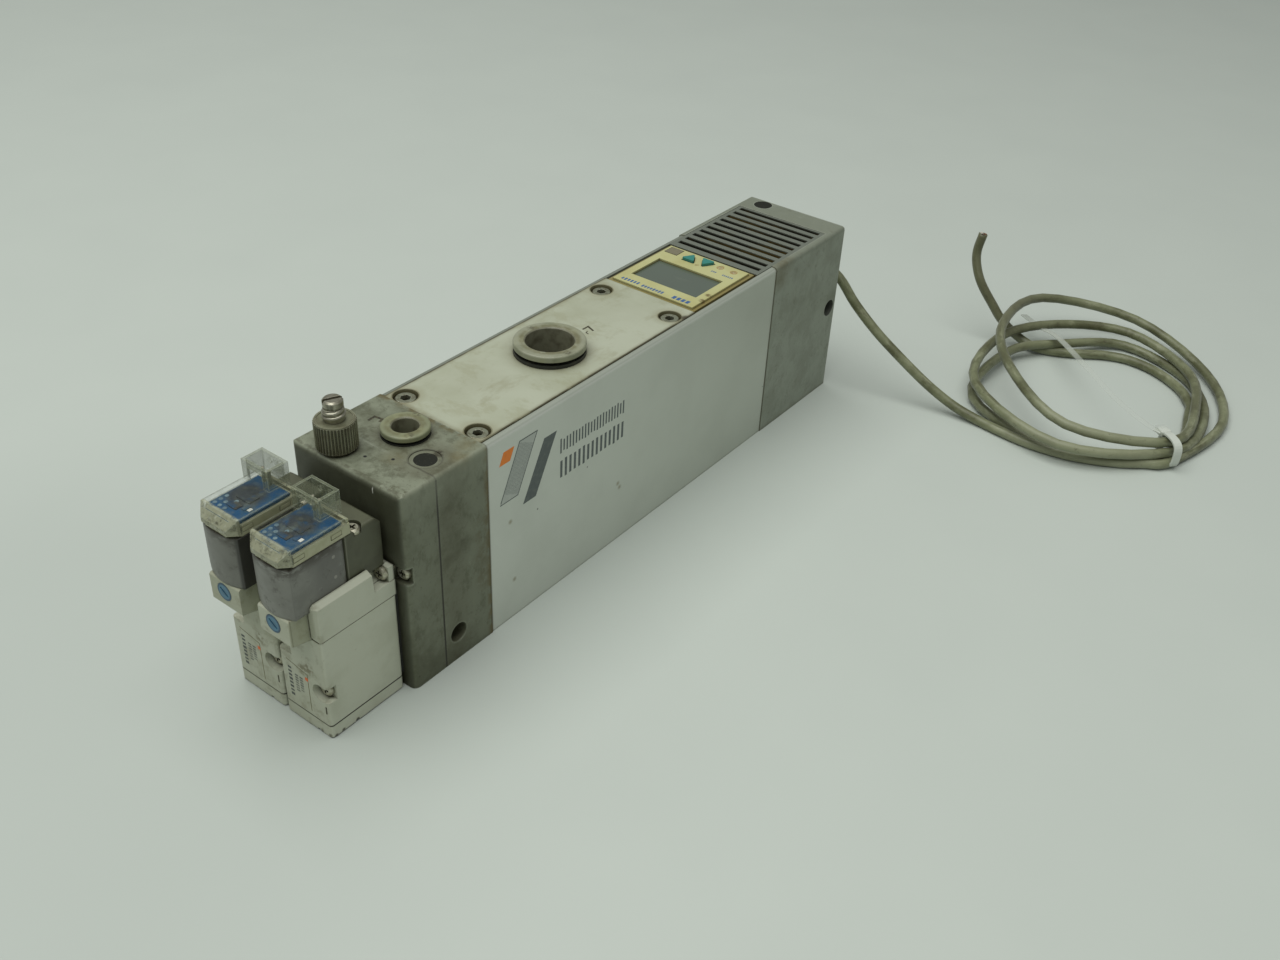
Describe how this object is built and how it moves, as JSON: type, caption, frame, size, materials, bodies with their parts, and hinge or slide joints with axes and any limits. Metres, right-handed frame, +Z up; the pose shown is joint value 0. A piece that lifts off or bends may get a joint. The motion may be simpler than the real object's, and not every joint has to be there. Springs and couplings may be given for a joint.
{
  "type": "vacuum_ejector",
  "caption": "Multistage vacuum ejector with two pilot valves, vacuum switch, release needle, side mounting holes and a coiled lead.",
  "frame": {"origin": "On the underside, on the centreline, straight below the axis of the front mounting hole.", "axes": "+Y runs from the valves to the exhaust end, +Z is up, along the axis of the vacuum port, +X is to the right seen from the valves."},
  "size_m": [0.1995, 0.4121, 0.0881],
  "materials": {
    "cast_aluminium": "matte",
    "extruded_aluminium": "satin",
    "cover_paint": "satin",
    "steel_screws": "satin",
    "plated_steel": "satin",
    "brass": "satin",
    "valve_plastic": "satin",
    "solenoid_plastic": "matte",
    "connector_plastic": "satin",
    "clear_plastic": "glossy",
    "board_blue": "satin",
    "board_green": "satin",
    "blue_plastic": "satin",
    "ring_plastic": "satin",
    "black_plastic": "glossy",
    "case_plastic": "satin",
    "display_grey": "glossy",
    "teal_plastic": "satin",
    "key_grey": "matte",
    "light_orange": "glossy",
    "grille_plastic": "matte",
    "silencer_felt": "matte",
    "white_plastic": "matte",
    "seal_rubber": "matte",
    "sheath": "matte",
    "tie_plastic": "satin",
    "plug_grey": "matte"
  },
  "bodies": {
    "ejector": {"adapter_plate": "cast_aluminium", "supply_block": "cast_aluminium", "body_channel": "extruded_aluminium", "top_cover": "cover_paint", "cover_screws": "steel_screws", "rear_cover": "cast_aluminium", "tie_bolts": "steel_screws", "rear_plug": "plug_grey", "blank_plug": "plug_grey", "grille": "grille_plastic", "silencer_element": "silencer_felt", "nozzle": "brass", "first_diffuser": "white_plastic", "second_diffuser": "white_plastic", "stage_plates": "white_plastic", "flap_valves": "seal_rubber", "vacuum_socket": "black_plastic", "vacuum_seal": "seal_rubber", "supply_socket": "black_plastic", "supply_seal": "seal_rubber", "switch_case": "case_plastic", "display_window": "display_grey", "switch_board": "board_green", "indicator_lights": "light_orange", "left_valve_body": "valve_plastic", "left_bottom_plate": "valve_plastic", "left_side_cover": "valve_plastic", "left_pilot_block": "cast_aluminium", "left_solenoid": "solenoid_plastic", "left_connector_base": "connector_plastic", "left_circuit_board": "board_blue", "left_clear_hood": "clear_plastic", "right_valve_body": "valve_plastic", "right_bottom_plate": "valve_plastic", "right_side_cover": "valve_plastic", "right_pilot_block": "cast_aluminium", "right_solenoid": "solenoid_plastic", "right_connector_base": "connector_plastic", "right_circuit_board": "board_blue", "right_clear_hood": "clear_plastic", "valve_gaskets": "seal_rubber", "plug_pins": "brass", "pan_screws": "plated_steel", "pilot_screws": "plated_steel", "cable_grommet": "seal_rubber", "cable_lead": "sheath", "cable_coil": "sheath", "cable_tail": "sheath", "cable_tie": "tie_plastic"},
    "needle": {"needle_spindle": "plated_steel"},
    "nut": {"lock_nut": "plated_steel"},
    "vacuum_ring": {"vacuum_release_ring": "ring_plastic"},
    "supply_ring": {"supply_release_ring": "ring_plastic"},
    "set_key": {"set_button": "key_grey"},
    "up_key": {"up_button": "teal_plastic"},
    "down_key": {"down_button": "teal_plastic"},
    "left_override_key": {"left_override": "blue_plastic"},
    "right_override_key": {"right_override": "blue_plastic"},
    "left_spool_body": {"left_spool": "extruded_aluminium"},
    "right_spool_body": {"right_spool": "extruded_aluminium"}
  },
  "joints": [
    {"name": "needle_turn", "type": "hinge", "parent": "ejector", "child": "needle", "pos_m": [-0.0093, -0.0132, 0.0717], "axis": [0, 0, 1], "range_deg": [-720, 720]},
    {"name": "nut_turn", "type": "hinge", "parent": "ejector", "child": "nut", "pos_m": [-0.0093, -0.0132, 0.0718], "axis": [0, 0, 1], "range_deg": [-360, 720]},
    {"name": "vacuum_ring_press", "type": "slide", "parent": "ejector", "child": "vacuum_ring", "axis": [0, 0, -1], "range_m": [0, 0.0011], "stiffness_N_per_m": 400, "springref_m": -0.0005},
    {"name": "supply_ring_press", "type": "slide", "parent": "ejector", "child": "supply_ring", "axis": [0, 0, -1], "range_m": [0, 0.0008], "stiffness_N_per_m": 400, "springref_m": -0.0005},
    {"name": "set_press", "type": "slide", "parent": "ejector", "child": "set_key", "axis": [0, 0, -1], "range_m": [0, 0.0006], "stiffness_N_per_m": 300, "springref_m": -0.0005},
    {"name": "up_press", "type": "slide", "parent": "ejector", "child": "up_key", "axis": [0, 0, -1], "range_m": [0, 0.0006], "stiffness_N_per_m": 300, "springref_m": -0.0005},
    {"name": "down_press", "type": "slide", "parent": "ejector", "child": "down_key", "axis": [0, 0, -1], "range_m": [0, 0.0006], "stiffness_N_per_m": 300, "springref_m": -0.0005},
    {"name": "left_override_press", "type": "slide", "parent": "ejector", "child": "left_override_key", "axis": [0, 1, 0], "range_m": [0, 0.001], "stiffness_N_per_m": 500, "springref_m": -0.0005},
    {"name": "right_override_press", "type": "slide", "parent": "ejector", "child": "right_override_key", "axis": [0, 1, 0], "range_m": [0, 0.001], "stiffness_N_per_m": 500, "springref_m": -0.0005},
    {"name": "left_spool_shift", "type": "slide", "parent": "ejector", "child": "left_spool_body", "axis": [0, 0, 1], "range_m": [0, 0.0015], "stiffness_N_per_m": 400, "springref_m": -0.0005},
    {"name": "right_spool_shift", "type": "slide", "parent": "ejector", "child": "right_spool_body", "axis": [0, 0, 1], "range_m": [0, 0.0015], "stiffness_N_per_m": 400, "springref_m": -0.0005}
  ]
}
